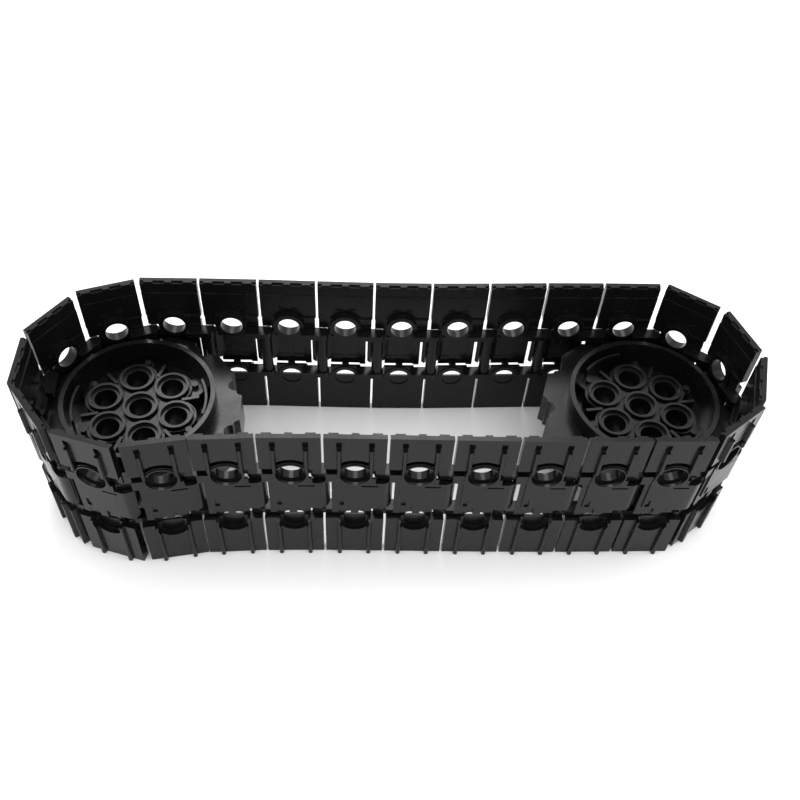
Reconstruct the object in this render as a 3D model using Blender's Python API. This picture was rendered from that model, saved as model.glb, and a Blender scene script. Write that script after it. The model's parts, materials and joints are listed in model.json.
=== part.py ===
# Snap-link track loop running round two ten-tooth sprockets, lying on one tread edge.
# Z is the axis of both sprockets and of every hinge, X runs along the loop, the tread
# faces outwards. Metres throughout; constants below are written in millimetres * MM.
import math
import bpy
import bmesh
from mathutils import Matrix, Vector

MM = 0.001

# ---- construction system ------------------------------------------------------------
PITCH = 12.577          # hinge to hinge distance of one link
TEETH = 10              # seats on a sprocket
R_PITCH = PITCH / (2.0 * math.sin(math.pi / TEETH))   # hinge circle radius on a sprocket
WIDTH = 40.0            # tread width, along Z
N_FRONT = 8             # links in the straight front run
N_BACK = 9              # links in the straight back run
N_WRAP = 5              # links seated on each sprocket
CENTRES = 8.5 * PITCH   # distance between the sprocket axes
STEP = 360.0 / TEETH

# ---- slack in the straight runs (rest shape) ----------------------------------------
BOW_FRONT = 4.2         # amplitude of the inward bow of the front run
BOW_BACK = 0.8          # depth of the inward bow of the back run
BOW_DECAY = 0.18        # the front bow peaks close to the left sprocket

# ---- link ---------------------------------------------------------------------------
GAP = 0.5               # daylight between neighbouring tread plates
SHIFT = 1.0             # tread plates sit this far ahead of the middle of their hinges
N_IN, N_OUT = 0.4, 2.4  # plate faces, measured outwards from the hinge line
RIDGE_X, RIDGE_W, RIDGE_H = 3.1, 1.1, 0.8
UP_Z0 = 30.2            # upper plate runs full width above this height
NECK_Z0 = 24.8          # narrow neck of the upper plate starts here
LO_Z1 = 12.7            # top of the lower plate
HOLE_Z = 8.4            # pin holes above and below mid height
BORE_D, BOSS_D = 4.8, 6.8
BOSS_IN = -1.2          # inner end of the tubes round the pin holes
BAR_R = 1.25            # hinge bar
CLIP_R0, CLIP_R1 = 1.55, 2.35
LEDGE_IN, LEDGE_OUT = -1.5, 1.15
LEDGE_H0, LEDGE_H1 = 5.6, 7.0   # ledges above and below mid height
PANEL_N0, PANEL_N1 = 1.85, 2.4
PANEL_Z0, PANEL_Z1 = 17.2, 27.0

# ---- sprocket -----------------------------------------------------------------------
RIM_R, RIM_T = 15.9, 1.0
HUB_H = 8.0             # half height of the rim
TOOTH_H = 4.0           # half height of the tooth plane
TIP_R = 20.9            # flat tooth tops stand this far from the axis
TOP_HALF = 3.35         # half length of a flat tooth top
SEAT_R = 1.55
RELIEF_R, RELIEF_DROP = 2.7, 0.35
FLOOR_H = 0.9           # half thickness of the dished floor
DECK_R, DECK_H = 11.9, 4.2   # raised deck that joins the tubes
TUBE_H = 5.0            # half height of the tubes, proud of the deck
TUBE_D = 7.3
RING_R = 8.0            # the six outer tubes stand on this radius
HOLE_PHASE = {"left": -18.0, "right": 36.0}


def remove_everything():
    for ob in list(bpy.data.objects):
        bpy.data.objects.remove(ob, do_unlink=True)
    for me in list(bpy.data.meshes):
        bpy.data.meshes.remove(me)


def plastic(name, colour, rough):
    m = bpy.data.materials.new(name)
    m.use_nodes = True
    b = m.node_tree.nodes["Principled BSDF"]
    b.inputs["Base Color"].default_value = (*colour, 1.0)
    b.inputs["Roughness"].default_value = rough
    b.inputs["Metallic"].default_value = 0.0
    m.diffuse_color = (*colour, 1.0)
    return m


def prism(name, ring, z0, z1):
    """Closed prism over the ring of (x, y) points, millimetres."""
    bm = bmesh.new()
    lo = [bm.verts.new((x * MM, y * MM, z0 * MM)) for x, y in ring]
    hi = [bm.verts.new((x * MM, y * MM, z1 * MM)) for x, y in ring]
    n = len(ring)
    bm.faces.new(list(reversed(lo)))
    bm.faces.new(hi)
    for i in range(n):
        j = (i + 1) % n
        bm.faces.new((lo[i], lo[j], hi[j], hi[i]))
    bmesh.ops.recalc_face_normals(bm, faces=bm.faces[:])
    me = bpy.data.meshes.new(name)
    bm.to_mesh(me)
    bm.free()
    ob = bpy.data.objects.new(name, me)
    bpy.context.scene.collection.objects.link(ob)
    return ob


def box(name, x0, x1, n0, n1, z0, z1):
    """Box in link coordinates: x along the chain, n outwards (-y)."""
    return prism(name, [(x0, -n1), (x1, -n1), (x1, -n0), (x0, -n0)], z0, z1)


def circle(cx, cy, r, seg, a0=0.0):
    return [(cx + r * math.cos(a0 + 2 * math.pi * i / seg),
             cy + r * math.sin(a0 + 2 * math.pi * i / seg)) for i in range(seg)]


def lying_cylinder(name, cx, cz, r, n0, n1, seg):
    """Cylinder whose axis is the outward normal of the link."""
    ob = prism(name, circle(0, 0, r, seg, math.pi / seg), n0, n1)
    # prism z becomes outwards (-y): rotate about x
    turn = Matrix.Translation((cx * MM, 0, cz * MM)) @ Matrix.Rotation(math.radians(90), 4, "X")
    ob.data.transform(turn)
    return ob


def combine(target, others, operation):
    for other in others:
        mod = target.modifiers.new("b", "BOOLEAN")
        mod.operation = operation
        mod.solver = "EXACT"
        mod.object = other
        other.hide_render = True
        other.display_type = "WIRE"
        deps = bpy.context.evaluated_depsgraph_get()
        new = bpy.data.meshes.new_from_object(target.evaluated_get(deps))
        old = target.data
        target.modifiers.clear()
        target.data = new
        bpy.data.meshes.remove(old)
        bpy.data.objects.remove(other, do_unlink=True)
    return target


def tidy(ob):
    bm = bmesh.new()
    bm.from_mesh(ob.data)
    bmesh.ops.remove_doubles(bm, verts=bm.verts[:], dist=0.000004)
    bmesh.ops.dissolve_limit(bm, angle_limit=math.radians(0.5), verts=bm.verts[:], edges=bm.edges[:])
    bmesh.ops.triangulate(bm, faces=bm.faces[:])
    bmesh.ops.recalc_face_normals(bm, faces=bm.faces[:])
    bm.to_mesh(ob.data)
    bm.free()


def tread_profile(x0, x1, xc):
    """Plate section with the two grouser ridges standing on its outer face."""
    pts = [(x0, -N_IN), (x0, -N_OUT)]
    for s in (-1, 1):
        c = xc + s * RIDGE_X
        pts += [(c - RIDGE_W / 2, -N_OUT), (c - RIDGE_W / 2 + 0.15, -N_OUT - RIDGE_H),
                (c + RIDGE_W / 2 - 0.15, -N_OUT - RIDGE_H), (c + RIDGE_W / 2, -N_OUT)]
    pts += [(x1, -N_OUT), (x1, -N_IN)]
    return pts


def make_link():
    xc = PITCH / 2 + SHIFT
    x0 = SHIFT + GAP / 2
    x1 = PITCH + SHIFT - GAP / 2
    mid = WIDTH / 2
    zu, zl = mid + HOLE_Z, mid - HOLE_Z
    body = prism("link", tread_profile(x0, x1, xc), UP_Z0, WIDTH)
    low = prism("low", tread_profile(x0, x1, xc), 0.0, LO_Z1)
    neck_x0, neck_x1 = xc - 3.45, xc + 3.45
    parts = [
        box("neck", neck_x0, neck_x1, N_IN, N_OUT, NECK_Z0, UP_Z0 + 0.4),
        lying_cylinder("boss_u", xc, zu, BOSS_D / 2, BOSS_IN, 1.0, 8),
        box("panel", 3.7, PITCH - 1.2, PANEL_N0, PANEL_N1, PANEL_Z0, PANEL_Z1),
        box("web", xc - 0.8, xc + 0.8, PANEL_N0, PANEL_N1, 15.4, PANEL_Z0 + 0.5),
        box("foot", xc - 0.8, xc + 0.8, 0.7, PANEL_N1, 14.1, 15.7),
        box("sill", neck_x0, neck_x1, N_IN, 1.0, LO_Z1 - 0.4, 15.2),
        box("shoulder", 1.5, neck_x0 + 0.4, N_IN, 2.2, mid + LEDGE_H0, 28.1),
        low,
        lying_cylinder("boss_l", xc, zl, BOSS_D / 2, BOSS_IN, 1.0, 8),
    ]
    # half shell that snaps over the hinge bar of the next link
    a0, a1 = math.radians(18), math.radians(150)
    seg = 3
    arc = [a0 + (a1 - a0) * i / seg for i in range(seg + 1)]
    ring = [(PITCH + CLIP_R1 * math.cos(a), -CLIP_R1 * math.sin(a)) for a in arc]
    ring += [(PITCH + CLIP_R0 * math.cos(a), -CLIP_R0 * math.sin(a)) for a in reversed(arc)]
    parts.append(prism("clip", ring, PANEL_Z0 - 0.7, mid + LEDGE_H0 - 0.3))
    # ledges and the hinge bar between them
    for s in (1, -1):
        z0, z1 = sorted((mid + s * LEDGE_H0, mid + s * LEDGE_H1))
        ring = [(4.7, -LEDGE_OUT), (4.7, -LEDGE_IN), (0.2, -LEDGE_IN)]
        ring += [(1.6 * math.cos(a), -1.6 * math.sin(a)) for a in
                 [math.radians(d) for d in (235, 180, 130)]]
        parts.append(prism("ledge", ring, z0, z1))
    parts.append(prism("bar", circle(0, 0, BAR_R, 8, math.pi / 8), mid - LEDGE_H0 - 0.5, mid + LEDGE_H0 + 0.5))
    combine(body, parts, "UNION")
    bores = [lying_cylinder("bore", xc, z, BORE_D / 2, -3.0, 5.0, 10) for z in (zu, zl)]
    combine(body, bores, "DIFFERENCE")
    tidy(body)
    return body


def tooth_ring():
    """Outline of the tooth plane: seats for the hinge bars, relieved above the seat."""
    pts = []
    half = math.radians(STEP / 2)

    def corner(mid, side):      # end of the flat top of the tooth centred on angle mid
        t = side * TOP_HALF
        return (TIP_R * math.cos(mid) - t * math.sin(mid), TIP_R * math.sin(mid) + t * math.cos(mid))

    for k in range(TEETH):
        a = math.radians(k * STEP)

        def put(t, r):      # t tangential, r radial in the frame of seat k
            pts.append((r * math.cos(a) - t * math.sin(a), r * math.sin(a) + t * math.cos(a)))
        shoulder = R_PITCH - RELIEF_DROP
        st = math.sqrt(SEAT_R ** 2 - RELIEF_DROP ** 2)
        rt = math.sqrt(RELIEF_R ** 2 - RELIEF_DROP ** 2)
        ttop = rt - 0.15
        # flat-topped tooth corner, shoulder, seat, shoulder, next corner
        pts.append(corner(a - half, 1))
        put(-ttop, shoulder + 0.05)
        b0 = math.atan2(-RELIEF_DROP, -st)
        b1 = math.atan2(-RELIEF_DROP, st)
        b0 = b0 if b0 < 0 else b0 - 2 * math.pi
        n = 4
        for i in range(n + 1):
            b = b0 + (b1 - b0) * i / n
            put(SEAT_R * math.cos(b), R_PITCH + SEAT_R * math.sin(b))
        put(ttop, shoulder + 0.05)
        pts.append(corner(a + half, -1))
    return pts


def make_sprocket(name, seat_phase, hole_phase):
    mid = WIDTH / 2
    seg = 30
    body = prism(name, circle(0, 0, RIM_R, seg), mid - HUB_H, mid + HUB_H)
    dish = [prism("dish", circle(0, 0, RIM_R - RIM_T, seg), mid + s * FLOOR_H, mid + s * (HUB_H + 1.0)) if s > 0 else
            prism("dish", circle(0, 0, RIM_R - RIM_T, seg), mid - (HUB_H + 1.0), mid - FLOOR_H) for s in (1, -1)]
    combine(body, dish, "DIFFERENCE")
    ring = prism("ring", tooth_ring(), mid - TOOTH_H, mid + TOOTH_H)
    ring.data.transform(Matrix.Rotation(math.radians(seat_phase), 4, "Z"))
    core = prism("core", circle(0, 0, RIM_R - 0.5, seg), mid - HUB_H - 1, mid + HUB_H + 1)
    combine(ring, [core], "DIFFERENCE")
    combine(body, [ring], "UNION")
    spots = [(0.0, 0.0)] + [(RING_R * math.cos(math.radians(hole_phase + 60 * i)),
                             RING_R * math.sin(math.radians(hole_phase + 60 * i))) for i in range(6)]
    tubes = [prism("tube", circle(x, y, TUBE_D / 2, 10), mid - TUBE_H, mid + TUBE_H) for x, y in spots]
    deck = prism("deck", circle(0, 0, DECK_R, 20), mid - DECK_H, mid + DECK_H)
    combine(body, [deck] + tubes, "UNION")
    bores = [prism("bore", circle(x, y, BORE_D / 2, 10), mid - HUB_H - 1, mid + HUB_H + 1) for x, y in spots]
    combine(body, bores, "DIFFERENCE")
    tidy(body)
    return body


def bow_front(n, amp):
    """Inward offsets of the hinges of the front run, deepest near the left sprocket."""
    return [amp * (1 - i / n) ** 1.5 * (1 - math.exp(-(i / n) / BOW_DECAY)) for i in range(n + 1)]


def bow_back(n, amp):
    """Inward offsets of the back run: its first and last links lie flat."""
    return [0.0 if i < 2 or i > n - 2 else amp * math.sin(math.pi * (i - 1) / (n - 2)) ** 2 for i in range(n + 1)]


def layout():
    """Hinge positions round the loop, counter-clockwise from the left end of the front run."""
    half = CENTRES / 2
    left = Vector((-half, 0.0))
    right = Vector((half, 0.0))

    def pin(c, deg):
        return c + R_PITCH * Vector((math.cos(math.radians(deg)), math.sin(math.radians(deg))))

    def run(p0, p1, offs):
        # hinges of a run between two seated hinges, bowed inwards
        n = len(offs) - 1
        d = (p1 - p0).normalized()
        inward = Vector((-d.y, d.x))
        pts = [p0]
        for i in range(n - 1):
            rise = offs[i + 1] - offs[i]
            pts.append(pts[-1] + d * math.sqrt(PITCH ** 2 - rise ** 2) + inward * rise)
        # spread the closing error evenly so the last hinge meets its seat
        last = pts[-1] + d * math.sqrt(PITCH ** 2 - (offs[n] - offs[n - 1]) ** 2) + inward * (offs[n] - offs[n - 1])
        err = p1 - last
        return [p + err * (i / n) for i, p in enumerate(pts)]

    pins = run(pin(left, 270), pin(right, 252), bow_front(N_FRONT, BOW_FRONT))
    pins += [pin(right, 252 + STEP * i) for i in range(N_WRAP)]
    pins += run(pin(right, 72), pin(left, 90), bow_back(N_BACK, BOW_BACK))
    pins += [pin(left, 90 + STEP * i) for i in range(N_WRAP)]
    return left, right, pins


def main():
    remove_everything()
    link_mat = plastic("abs_black_link", (0.012, 0.012, 0.013), 0.32)
    spro_mat = plastic("abs_black_sprocket", (0.010, 0.010, 0.011), 0.28)
    left, right, pins = layout()
    total = len(pins)
    master = make_link()
    front = list(range(0, N_FRONT))
    rwrap = list(range(N_FRONT, N_FRONT + N_WRAP))
    back = list(range(N_FRONT + N_WRAP, N_FRONT + N_WRAP + N_BACK))
    for i in range(total):
        p0, p1 = pins[i], pins[(i + 1) % total]
        heading = math.atan2(p1.y - p0.y, p1.x - p0.x)
        place = Matrix.Translation((p0.x * MM, p0.y * MM, 0)) @ Matrix.Rotation(heading, 4, "Z")
        # the hinge the piece swings on
        if i in front:
            hinge = p0
        elif i in rwrap:
            hinge = pins[rwrap[0]]
        elif i in back:
            hinge = p1
        else:
            hinge = pins[0]
        me = master.data.copy()
        me.name = "link_%02d" % (i + 1)
        me.transform(Matrix.Translation((-hinge.x * MM, -hinge.y * MM, 0)) @ place)
        ob = bpy.data.objects.new("link_%02d" % (i + 1), me)
        ob.location = (hinge.x * MM, hinge.y * MM, 0)
        me.materials.clear()
        me.materials.append(link_mat)
        bpy.context.scene.collection.objects.link(ob)
    bpy.data.objects.remove(master, do_unlink=True)
    for side, c, seat, hinge in (("left", left, 18.0, pins[0]), ("right", right, 0.0, pins[rwrap[0]])):
        ob = make_sprocket("sprocket_" + side, seat, HOLE_PHASE[side])
        ob.data.transform(Matrix.Translation(((c.x - hinge.x) * MM, (c.y - hinge.y) * MM, 0)))
        ob.location = (hinge.x * MM, hinge.y * MM, 0)
        ob.data.materials.clear()
        ob.data.materials.append(spro_mat)
    # the outline is centred over the origin
    xs = [(ob.location + v.co).x for ob in bpy.data.objects for v in ob.data.vertices]
    ys = [(ob.location + v.co).y for ob in bpy.data.objects for v in ob.data.vertices]
    middle = Vector(((min(xs) + max(xs)) / 2, (min(ys) + max(ys)) / 2, 0))
    for ob in bpy.data.objects:
        ob.location -= middle
        me = ob.data
        for poly in me.polygons:
            poly.use_smooth = True
        me.set_sharp_from_angle(angle=math.radians(32))


main()
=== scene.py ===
import json
import math
import bpy
import bmesh
from mathutils import Matrix, Vector


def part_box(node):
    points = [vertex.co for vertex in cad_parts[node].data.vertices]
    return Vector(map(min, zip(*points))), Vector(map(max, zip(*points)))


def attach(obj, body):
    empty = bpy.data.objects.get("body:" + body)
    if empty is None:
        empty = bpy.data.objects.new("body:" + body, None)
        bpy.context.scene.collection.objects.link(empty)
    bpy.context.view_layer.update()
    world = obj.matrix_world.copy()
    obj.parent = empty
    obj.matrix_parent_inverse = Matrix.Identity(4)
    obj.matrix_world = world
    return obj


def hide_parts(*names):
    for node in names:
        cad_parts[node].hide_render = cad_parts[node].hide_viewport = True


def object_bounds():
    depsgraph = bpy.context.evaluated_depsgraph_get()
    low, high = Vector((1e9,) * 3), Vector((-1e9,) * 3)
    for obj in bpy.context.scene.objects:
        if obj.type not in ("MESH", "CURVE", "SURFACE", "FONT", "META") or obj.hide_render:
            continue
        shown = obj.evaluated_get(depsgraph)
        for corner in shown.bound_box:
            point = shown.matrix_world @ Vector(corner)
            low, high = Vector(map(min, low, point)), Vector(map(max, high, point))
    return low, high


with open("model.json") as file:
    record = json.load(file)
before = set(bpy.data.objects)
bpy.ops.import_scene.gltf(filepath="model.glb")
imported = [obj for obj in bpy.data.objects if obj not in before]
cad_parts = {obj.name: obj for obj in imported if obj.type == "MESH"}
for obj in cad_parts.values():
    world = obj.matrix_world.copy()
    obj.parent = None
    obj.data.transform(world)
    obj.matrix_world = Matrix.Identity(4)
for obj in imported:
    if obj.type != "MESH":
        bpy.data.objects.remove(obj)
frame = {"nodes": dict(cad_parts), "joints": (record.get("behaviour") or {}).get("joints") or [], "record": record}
CAD_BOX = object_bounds()
MM = 0.001

# ---- where things are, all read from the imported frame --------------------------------
JOINTS = {j["name"]: j for j in frame["joints"]}
BODY_OF = {n: b for b, ns in frame["record"]["behaviour"]["bodies"].items() for n in ns}


def joint_at(name):
    p = JOINTS[name]["pos_m"]
    return Vector((p[0] / MM, p[1] / MM))


def centre_of(node):
    lo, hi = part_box(node)
    return Vector(((lo.x + hi.x) / 2 / MM, (lo.y + hi.y) / 2 / MM))


def turned(p, c, deg):
    a = math.radians(deg)
    d = p - c
    return c + Vector((d.x * math.cos(a) - d.y * math.sin(a), d.x * math.sin(a) + d.y * math.cos(a)))


LEFT, RIGHT = centre_of("sprocket_left"), centre_of("sprocket_right")
STEP = 36.0
pins = [None] * 27
pins[0] = joint_at("drive")
pins[1] = joint_at("front_slack")
for k in range(2, 8):
    pins[k] = joint_at("front_hinge_%d" % k)
pins[8] = joint_at("drive_right")
for k in range(1, 6):
    pins[8 + k] = turned(pins[8], RIGHT, STEP * k)
pins[22] = joint_at("back_lead")
pins[21] = joint_at("back_slack")
for k in range(2, 9):
    pins[22 - k] = joint_at("back_hinge_%d" % k)
for k in range(1, 5):
    pins[22 + k] = turned(pins[22], LEFT, STEP * k)
PITCH = (pins[9] - pins[8]).length
R_PITCH = (pins[8] - RIGHT).length
WIDTH = (CAD_BOX[1][2] - CAD_BOX[0][2]) / MM
MID = WIDTH / 2
XC = PITCH / 2 + 1.0          # middle of a tread plate, ahead of its rear pin


# ---- mesh tools -----------------------------------------------------------------------
def prism(ring, z0, z1, name="tmp"):
    bm = bmesh.new()
    lo = [bm.verts.new((x, y, z0)) for x, y in ring]
    hi = [bm.verts.new((x, y, z1)) for x, y in ring]
    n = len(ring)
    bm.faces.new(list(reversed(lo)))
    bm.faces.new(hi)
    for i in range(n):
        j = (i + 1) % n
        bm.faces.new((lo[i], lo[j], hi[j], hi[i]))
    bmesh.ops.recalc_face_normals(bm, faces=bm.faces[:])
    me = bpy.data.meshes.new(name)
    bm.to_mesh(me)
    bm.free()
    ob = bpy.data.objects.new(name, me)
    bpy.context.scene.collection.objects.link(ob)
    return ob


def rounded(x0, x1, y0, y1, r, seg=4):
    """Ring of a rectangle with rounded corners."""
    pts = []
    for cx, cy, a0 in ((x1 - r, y1 - r, 0), (x0 + r, y1 - r, 90), (x0 + r, y0 + r, 180), (x1 - r, y0 + r, 270)):
        for i in range(seg + 1):
            a = math.radians(a0 + 90 * i / seg)
            pts.append((cx + r * math.cos(a), cy + r * math.sin(a)))
    return pts


def box(x0, x1, n0, n1, z0, z1):
    """Box in link coordinates: x along the chain, n outwards (-y)."""
    return prism([(x0, -n1), (x1, -n1), (x1, -n0), (x0, -n0)], z0, z1)


def circle(cx, cy, r, seg, a0=0.0):
    return [(cx + r * math.cos(a0 + 2 * math.pi * i / seg), cy + r * math.sin(a0 + 2 * math.pi * i / seg)) for i in range(seg)]


def outward(ring, n0, n1):
    """Prism over a ring drawn in the (x, z) plane, standing from n0 to n1 outwards."""
    ob = prism(ring, n0, n1)
    # (x, z, n) -> (x, -n, z)
    ob.data.transform(Matrix(((1, 0, 0, 0), (0, 0, -1, 0), (0, 1, 0, 0), (0, 0, 0, 1))))
    return ob


def drop(ob):
    me = ob.data
    bpy.data.objects.remove(ob, do_unlink=True)
    bpy.data.meshes.remove(me)


def apply_all(ob):
    deps = bpy.context.evaluated_depsgraph_get()
    new = bpy.data.meshes.new_from_object(ob.evaluated_get(deps))
    old = ob.data
    ob.modifiers.clear()
    ob.data = new
    bpy.data.meshes.remove(old)


def combine(target, others, operation):
    for other in others:
        mod = target.modifiers.new("b", "BOOLEAN")
        mod.operation = operation
        mod.solver = "EXACT"
        mod.object = other
        apply_all(target)
        drop(other)
    return target


def finish_edges(ob, width, segments=2, angle=28):
    bm = bmesh.new()
    bm.from_mesh(ob.data)
    bmesh.ops.remove_doubles(bm, verts=bm.verts[:], dist=0.004)
    bmesh.ops.dissolve_limit(bm, angle_limit=math.radians(0.4), verts=bm.verts[:], edges=bm.edges[:])
    bmesh.ops.recalc_face_normals(bm, faces=bm.faces[:])
    bm.to_mesh(ob.data)
    bm.free()
    mod = ob.modifiers.new("bevel", "BEVEL")
    mod.width = width
    mod.segments = segments
    mod.limit_method = "ANGLE"
    mod.angle_limit = math.radians(angle)
    mod.use_clamp_overlap = True
    mod.miter_outer = "MITER_ARC"
    mod.loop_slide = True
    apply_all(ob)
    for p in ob.data.polygons:
        p.use_smooth = True
    ob.data.set_sharp_from_angle(angle=math.radians(38))
    mod = ob.modifiers.new("n", "WEIGHTED_NORMAL")
    mod.keep_sharp = True
    apply_all(ob)


# ---- one tread link, millimetres ------------------------------------------------------
def tread_profile(x0, x1, inner=0.4):
    pts = [(x0, -inner), (x0, -2.4)]
    for s in (-1, 1):
        c = XC + s * 3.1
        pts += [(c - 0.52, -2.4), (c - 0.42, -3.0), (c - 0.28, -3.19), (c + 0.28, -3.19), (c + 0.42, -3.0), (c + 0.52, -2.4)]
    pts += [(x1, -2.4), (x1, -inner)]
    return pts


def make_link():
    x0, x1 = 1.25, PITCH + 0.75
    zu, zl = MID + 8.4, MID - 8.4
    body = prism(tread_profile(x0, x1, 0.9), 30.2, 36.9, "tread_link")
    ring_u = circle(XC, zu, 3.4, 40)
    ring_l = circle(XC, zl, 3.4, 40)
    knuckle = [(9.0, -2.36), (PITCH + 0.4, -2.36)]
    knuckle += [(PITCH + 2.36 * math.cos(math.radians(a)), -2.36 * math.sin(math.radians(a))) for a in range(72, 17, -6)]
    knuckle += [(PITCH + 1.5 * math.cos(math.radians(a)), -1.5 * math.sin(math.radians(a))) for a in range(18, 141, 11)]
    knuckle += [(10.0, -1.86), (9.0, -1.86)]
    parts = [
        box(x0, x1, 1.05, 2.4, 36.4, WIDTH),
        prism(tread_profile(x0, x1), 0.0, 12.7),
        box(XC - 3.45, XC + 3.45, 0.4, 2.4, 24.8, 30.6),
        outward(ring_u, -0.3, 1.0),
        outward(ring_u, 1.0, 2.62),
        outward(ring_l, 0.2, 1.0),
        box(3.72, 11.36, 1.87, 2.38, 17.2, 27.0),
        box(XC - 0.8, XC + 0.8, 1.87, 2.38, 15.4, 17.7),
        box(XC - 0.8, XC + 0.8, 0.7, 2.38, 14.85, 15.7),
        box(XC - 3.45, XC + 3.45, 0.4, 1.0, 12.3, 15.2),
        box(1.5, 4.3, 0.42, 2.2, 25.6, 28.1),
        prism(knuckle, 16.5, 25.3),
        # backing walls behind the recesses
        box(2.62, 4.0, 1.72, 2.05, 14.6, 25.7),
        box(3.7, 10.7, 1.74, 1.98, 15.0, 17.5),
        box(1.45, 4.0, 0.5, 1.0, 27.8, 30.5),
        box(10.4, x1 - 0.1, 0.9, 1.4, 27.35, 30.5),
        # stiffening ribs on the inner side
        box(XC - 0.35, XC + 0.35, 1.73, 1.95, 17.2, 24.9),
        box(3.85, XC + 3.3, 0.1, 0.6, 24.9, 25.5),
    ]
    for s in (1, -1):
        a, b = sorted((MID + s * 5.62, MID + s * 7.0))
        ring = [(4.7, -1.15), (4.7, 1.49), (0.4, 1.49)]
        ring += [(1.6 * math.cos(math.radians(t)), -1.6 * math.sin(math.radians(t))) for t in range(250, 129, -12)]
        parts.append(prism(ring, a, b))
    parts.append(prism(circle(0, 0, 1.25, 28), MID - 6.1, MID + 6.1))
    combine(body, parts, "UNION")
    # openings and recesses
    crescent = [(XC + 4.75 * math.cos(math.radians(a)), zu + 4.75 * math.sin(math.radians(a))) for a in range(52, 129, 6)]
    crescent += [(XC + 3.75 * math.cos(math.radians(a)), zu + 3.75 * math.sin(math.radians(a))) for a in range(134, 45, -6)]
    cuts = [
        outward(circle(XC, zu, 2.4, 36), -3.0, 5.0),
        outward(circle(XC, zl, 2.4, 36), -3.0, 5.0),
        outward(circle(XC, zu, 3.08, 36), 1.5, 5.0),
        outward(circle(XC, zl, 3.08, 36), 1.5, 5.0),
        outward(crescent, 1.35, 4.0),
        outward(rounded(XC + 1.3, XC + 4.6, 24.15, 24.6, 0.12, 2), 2.0, 4.0),
        outward(rounded(4.15, 5.15, 17.75, 20.1, 0.15, 2), 2.05, 4.0),
        # corners of the knuckle plate are rounded off
        outward([(PITCH + 3.4, 25.4)] + [(PITCH + 1.3 + 1.2 * math.cos(math.radians(a)), 24.12 + 1.2 * math.sin(math.radians(a))) for a in range(0, 91, 15)] + [(PITCH + 1.3, 25.6), (PITCH + 3.4, 25.6)], -2.0, 4.0),
        outward([(PITCH + 3.4, 16.3), (PITCH + 1.3, 16.3)] + [(PITCH + 1.3 + 1.2 * math.cos(math.radians(a)), 17.68 + 1.2 * math.sin(math.radians(a))) for a in range(270, 361, 15)], -2.0, 4.0),
    ]
    for s in (-1, 1):
        c = XC + s * 3.1
        cuts.append(outward(rounded(c - 0.58, c + 0.58, 37.2, 38.75, 0.15, 2), 1.9, 4.0))
        cuts.append(outward(rounded(XC + s * 1.95 - 1.25, XC + s * 1.95 + 1.25, 39.55, 41.0, 0.2, 2), -1.0, 1.55))
    # scallops outside the nubs
    for a, b in ((x0 - 0.5, XC - 5.1), (XC + 5.1, x1 + 0.5)):
        cuts.append(outward([(a, 39.6), (b, 39.6), (b, 41), (a, 41)], -1.0, 1.55))
    # two dimples on the inner face of the upper plate
    for s in (-1, 1):
        ell = [(XC + s * 1.5 + 0.75 * math.cos(2 * math.pi * i / 20), 33.2 + 0.42 * math.sin(2 * math.pi * i / 20)) for i in range(20)]
        cuts.append(outward(ell, -1.0, 1.15))
    combine(body, cuts, "DIFFERENCE")
    # the lower pin hole is closed on the inner side up to the edge of the plate
    combine(body, [box(XC - 3.3, XC + 3.3, 0.42, 0.85, 8.0, 12.1)], "UNION")
    finish_edges(body, 0.13)
    return body


# ---- one sprocket, millimetres --------------------------------------------------------
def tooth_ring():
    pts = []
    half = math.radians(STEP / 2)

    def corner(mid, side):
        t = side * 3.35
        return (20.88 * math.cos(mid) - t * math.sin(mid), 20.88 * math.sin(mid) + t * math.cos(mid))

    for k in range(10):
        a = math.radians(k * STEP)

        def put(t, r):
            pts.append((r * math.cos(a) - t * math.sin(a), r * math.sin(a) + t * math.cos(a)))
        pts.append(corner(a - half, 1))
        put(-2.5, R_PITCH - 0.3)
        b0 = math.atan2(-0.35, -1.51) - 2 * math.pi if math.atan2(-0.35, -1.51) > 0 else math.atan2(-0.35, -1.51)
        b1 = math.atan2(-0.35, 1.51)
        for i in range(13):
            b = b0 + (b1 - b0) * i / 12
            put(1.56 * math.cos(b), R_PITCH + 1.56 * math.sin(b))
        put(2.5, R_PITCH - 0.3)
        pts.append(corner(a + half, -1))
    return pts


def polar(r, deg):
    return (r * math.cos(math.radians(deg)), r * math.sin(math.radians(deg)))


def arc_ring(r0, r1, a0, a1, seg):
    out = [polar(r1, a0 + (a1 - a0) * i / seg) for i in range(seg + 1)]
    return out + [polar(r0, a1 + (a0 - a1) * i / seg) for i in range(seg + 1)]


def turned_ring(ring, deg):
    a = math.radians(deg)
    return [(x * math.cos(a) - y * math.sin(a), x * math.sin(a) + y * math.cos(a)) for x, y in ring]


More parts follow.
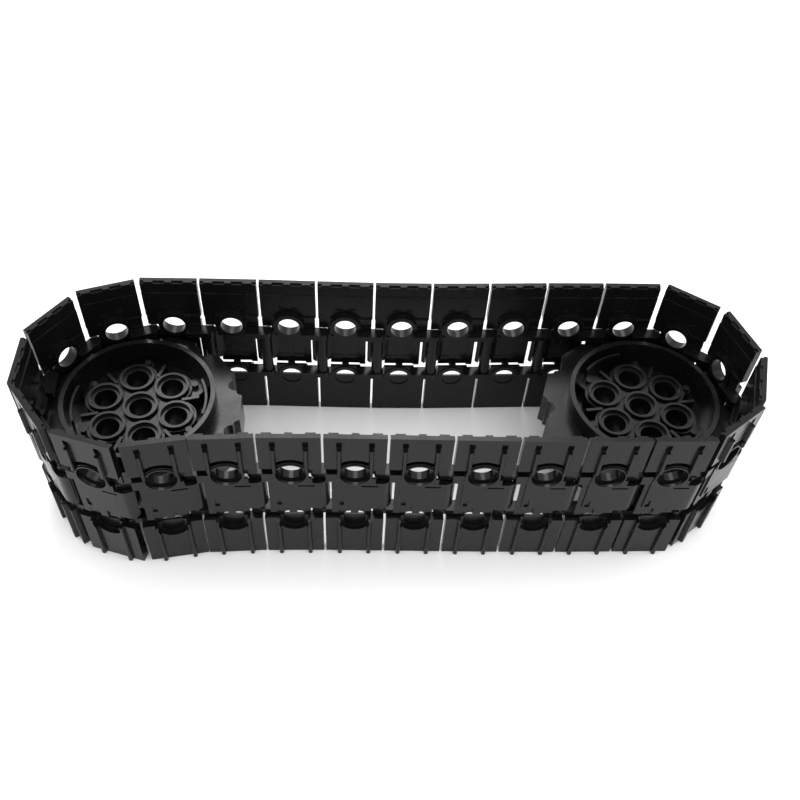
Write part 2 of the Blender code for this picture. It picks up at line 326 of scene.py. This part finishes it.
def make_sprocket(seat_phase, hole_phase, ears):
    body = prism(circle(0, 0, 15.9, 120), MID - 8, MID + 8, "sprocket")
    combine(body, [prism(circle(0, 0, 14.95, 120), MID + 0.9, MID + 9), prism(circle(0, 0, 14.95, 120), MID - 9, MID - 0.9)], "DIFFERENCE")
    ring = prism(turned_ring(tooth_ring(), seat_phase), MID - 4, MID + 4)
    combine(ring, [prism(circle(0, 0, 15.3, 120), MID - 9, MID + 9)], "DIFFERENCE")
    spots = [(0.0, 0.0)] + [polar(8.0, hole_phase + 60 * i) for i in range(6)]
    parts = [ring, prism(circle(0, 0, 9.0, 48, 0.01), MID - 4.2, MID + 4.2)]
    for x, y in spots[1:]:
        parts.append(prism(circle(x, y, 4.25, 40), MID - 4.2, MID + 4.2))
    for i in range(6):
        a = hole_phase + 60 * i
        # small locating stub beside each tube, on a short arm
        cx, cy = polar(12.35, a - 12)
        parts.append(prism(circle(cx, cy, 1.15, 20), MID - 4.0, MID + 3.7))
        parts.append(prism(circle(cx, cy, 0.72, 16), MID - 4.5, MID + 4.6))
        # fin between neighbouring tubes
        parts.append(prism(turned_ring([(8.6, -0.32), (12.2, -0.32), (12.2, 0.32), (8.6, 0.32)], a + 30), MID - 4.6, MID + 4.6))
    for e in ears:
        parts.append(prism(turned_ring([(10.5, -3.2), (15.2, -1.3), (15.2, 1.5), (10.8, 2.6)], e), MID - 3.6, MID + 3.6))
        parts.append(prism(arc_ring(13.55, 14.05, e - 44, e - 4, 16), MID - 6.2, MID + 6.2))
    combine(body, parts, "UNION")
    # dark joint line round each tube, then the tubes themselves
    grooves = []
    for x, y in spots:
        g = prism(circle(x, y, 4.02, 40), MID + 3.75, MID + 6)
        grooves.append(g)
    combine(body, grooves, "DIFFERENCE")
    combine(body, [prism(circle(x, y, 3.65, 40), MID - 5.0, MID + 5.0) for x, y in spots], "UNION")
    cuts = []
    for x, y in spots:
        cuts.append(prism(circle(x, y, 2.4, 36), MID - 9, MID + 9))
        cuts.append(prism(circle(x, y, 3.1, 36), MID + 4.2, MID + 6))
        cuts.append(prism(circle(x, y, 3.1, 36), MID - 6, MID - 4.2))
    combine(body, cuts, "DIFFERENCE")
    finish_edges(body, 0.16)
    return body


# ---- black moulded plastic ------------------------------------------------------------
def plastic(name, colour, rough, wear_and_highlight_colour, spec):
    m = bpy.data.materials.new(name)
    m.use_nodes = True
    nt = m.node_tree
    b = nt.nodes["Principled BSDF"]
    b.inputs["IOR"].default_value = 1.5
    b.inputs["Specular IOR Level"].default_value = spec
    tex = nt.nodes.new("ShaderNodeTexCoord")

    def noise(scale, detail, rgh=0.5):
        n = nt.nodes.new("ShaderNodeTexNoise")
        n.inputs["Scale"].default_value = scale
        n.inputs["Detail"].default_value = detail
        n.inputs["Roughness"].default_value = rgh
        nt.links.new(tex.outputs["Object"], n.inputs["Vector"])
        return n.outputs["Fac"]

    def ramp(src, lo, hi, a, c):
        r = nt.nodes.new("ShaderNodeMapRange")
        r.inputs["From Min"].default_value = lo
        r.inputs["From Max"].default_value = hi
        r.inputs["To Min"].default_value = a
        r.inputs["To Max"].default_value = c
        nt.links.new(src, r.inputs["Value"])
        return r.outputs["Result"]

    def maths(op, x, y):
        n = nt.nodes.new("ShaderNodeMath")
        n.operation = op
        for i, v in enumerate((x, y)):
            if isinstance(v, float):
                n.inputs[i].default_value = v
            else:
                nt.links.new(v, n.inputs[i])
        return n.outputs[0]

    # edge mask: how far a rounded normal leans from the real one; the edges it finds are lightened in the base colour,
    # partly rubbed wear and partly a painted edge highlight
    bev = nt.nodes.new("ShaderNodeBevel")
    bev.samples = 4
    bev.inputs["Radius"].default_value = 0.00028
    geo = nt.nodes.new("ShaderNodeNewGeometry")
    dot = nt.nodes.new("ShaderNodeVectorMath")
    dot.operation = "DOT_PRODUCT"
    nt.links.new(bev.outputs["Normal"], dot.inputs[0])
    nt.links.new(geo.outputs["Normal"], dot.inputs[1])
    edge = ramp(dot.outputs["Value"], 0.97, 0.72, 0.0, 1.0)
    rub_and_highlight_breakup = ramp(noise(420.0, 3.0), 0.42, 0.62, 0.25, 1.0)
    wear_and_highlight_mask = maths("MULTIPLY", edge, rub_and_highlight_breakup)
    # broad flow marks and tiny specks in the colour
    flow = ramp(noise(60.0, 4.0, 0.6), 0.35, 0.65, 0.0, 1.0)
    mix = nt.nodes.new("ShaderNodeMix")
    mix.data_type = "RGBA"
    mix.inputs["A"].default_value = (*colour, 1)
    mix.inputs["B"].default_value = (colour[0] * 1.35, colour[1] * 1.33, colour[2] * 1.3, 1)
    nt.links.new(flow, mix.inputs["Factor"])
    # lighter colour painted onto the edges: rubbed wear plus painted edge highlight
    mix2 = nt.nodes.new("ShaderNodeMix")
    mix2.data_type = "RGBA"
    mix2.inputs["B"].default_value = (*wear_and_highlight_colour, 1)
    nt.links.new(mix.outputs["Result"], mix2.inputs["A"])
    nt.links.new(wear_and_highlight_mask, mix2.inputs["Factor"])
    nt.links.new(mix2.outputs["Result"], b.inputs["Base Color"])
    # polished patches and a fine spark-eroded grain
    smear = ramp(noise(95.0, 5.0, 0.65), 0.3, 0.7, rough - 0.06, rough + 0.08)
    grain = noise(5200.0, 2.0)
    b_r = maths("ADD", smear, maths("MULTIPLY", maths("SUBTRACT", grain, 0.5), 0.10))
    nt.links.new(b_r, b.inputs["Roughness"])
    wob = noise(260.0, 2.0)
    bump2 = nt.nodes.new("ShaderNodeBump")
    bump2.inputs["Strength"].default_value = 0.25
    bump2.inputs["Distance"].default_value = 0.00005
    nt.links.new(wob, bump2.inputs["Height"])
    bump = nt.nodes.new("ShaderNodeBump")
    bump.inputs["Strength"].default_value = 0.18
    bump.inputs["Distance"].default_value = 0.00001
    nt.links.new(grain, bump.inputs["Height"])
    nt.links.new(bump2.outputs["Normal"], bump.inputs["Normal"])
    nt.links.new(bump.outputs["Normal"], b.inputs["Normal"])
    m.diffuse_color = (*colour, 1)
    return m


# the fourth argument is the lighter edge colour: rubbed wear plus painted edge highlight
LINK_MAT = plastic("satin_black_link", (0.0036, 0.0035, 0.0038), 0.25, (0.022, 0.0215, 0.021), 0.20)
SPROCKET_MAT = plastic("satin_black_sprocket", (0.0036, 0.0035, 0.0039), 0.23, (0.026, 0.0255, 0.025), 0.28)
for name, ob in frame["nodes"].items():
    ob.data.materials.clear()
    ob.data.materials.append(SPROCKET_MAT if name.startswith("sprocket") else LINK_MAT)

# ---- the loop ---------------------------------------------------------------------------
master = make_link()
master.data.transform(Matrix.Scale(MM, 4))
master.data.materials.clear()
master.data.materials.append(LINK_MAT)
for i in range(27):
    p0, p1 = pins[i], pins[(i + 1) % 27]
    d = p1 - p0
    place = Matrix.Translation((p0.x * MM, p0.y * MM, CAD_BOX[0][2])) @ Matrix.Rotation(math.atan2(d.y, d.x), 4, "Z")
    node = "link_%02d" % (i + 1)
    me = master.data.copy()
    me.transform(place)
    ob = bpy.data.objects.new("tread_%02d" % (i + 1), me)
    bpy.context.scene.collection.objects.link(ob)
    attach(ob, BODY_OF[node])
    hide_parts(node)
bpy.data.objects.remove(master, do_unlink=True)

for side, c, seat, holes, ears in (("left", LEFT, 18.0, -18.0, (30, 206)), ("right", RIGHT, 0.0, 36.0, (144, 328))):
    ob = make_sprocket(seat, holes, ears)
    ob.name = "hub_" + side
    ob.data.transform(Matrix.Scale(MM, 4))
    ob.data.materials.clear()
    ob.data.materials.append(SPROCKET_MAT)
    ob.data.transform(Matrix.Translation((c.x * MM, c.y * MM, CAD_BOX[0][2])))
    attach(ob, BODY_OF["sprocket_" + side])
    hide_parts("sprocket_" + side)

# ---- floor, light, camera -----------------------------------------------------------------
bm = bmesh.new()
bmesh.ops.create_grid(bm, x_segments=1, y_segments=1, size=3.0)
me = bpy.data.meshes.new("floor")
bm.to_mesh(me)
bm.free()
floor = bpy.data.objects.new("floor", me)
floor.location = (0, 0, CAD_BOX[0][2] - 0.0001)
bpy.context.scene.collection.objects.link(floor)
fm = bpy.data.materials.new("floor_white")
fm.use_nodes = True
fb = fm.node_tree.nodes["Principled BSDF"]
fb.inputs["Base Color"].default_value = (0.93, 0.93, 0.93, 1)
fb.inputs["Roughness"].default_value = 0.75
fb.inputs["Specular IOR Level"].default_value = 0.2
me.materials.append(fm)

world = bpy.data.worlds.new("studio")
world.use_nodes = True
world.node_tree.nodes["Background"].inputs["Color"].default_value = (1, 1, 1, 1)
world.node_tree.nodes["Background"].inputs["Strength"].default_value = 1.30
bpy.context.scene.world = world
bpy.context.scene.view_settings.view_transform = "Standard"


def area(name, loc, size, power, aim=(0, 0, 0.02)):
    li = bpy.data.lights.new(name, "AREA")
    li.shape = "RECTANGLE"
    li.size, li.size_y = size
    li.energy = power
    ob = bpy.data.objects.new(name, li)
    bpy.context.scene.collection.objects.link(ob)
    ob.location = loc
    ob.rotation_euler = (Vector(aim) - Vector(loc)).to_track_quat("-Z", "Y").to_euler()
    return ob


area("top_soft", (0.05, 0.05, 0.65), (0.7, 0.5), 1.3)
area("front_fill", (-0.15, -0.65, 0.30), (0.8, 0.4), 0.5)
area("right_strip", (0.6, 0.1, 0.35), (0.25, 0.6), 0.6)
area("back_card", (-0.02, 0.40, 0.52), (0.34, 0.16), 1.3)

CAM_POS = Vector((-10.76, -127.78, 178.94)) * MM
YAW, PITCH_DOWN, ROLL = math.radians(5.25), math.radians(49.99), math.radians(3.96)
FOCAL_PX = 939.4
cy, sy, cp, sp = math.cos(YAW), math.sin(YAW), math.cos(PITCH_DOWN), math.sin(PITCH_DOWN)
fwd = Vector((sy * cp, cy * cp, -sp))
rgt = Vector((cy, -sy, 0))
up = rgt.cross(fwd)
r2 = math.cos(ROLL) * rgt + math.sin(ROLL) * up
u2 = -math.sin(ROLL) * rgt + math.cos(ROLL) * up
cam = bpy.data.objects.new("camera", bpy.data.cameras.new("camera"))
bpy.context.scene.collection.objects.link(cam)
rot = Matrix((r2, u2, -fwd)).transposed().to_4x4()
cam.matrix_world = Matrix.Translation(CAM_POS) @ rot
cam.data.sensor_width = 36.0
cam.data.sensor_fit = "HORIZONTAL"
cam.data.lens = FOCAL_PX / 800.0 * 36.0
cam.data.clip_start = 0.005
cam.data.clip_end = 20.0
cam.data.dof.use_dof = False
bpy.context.scene.camera = cam
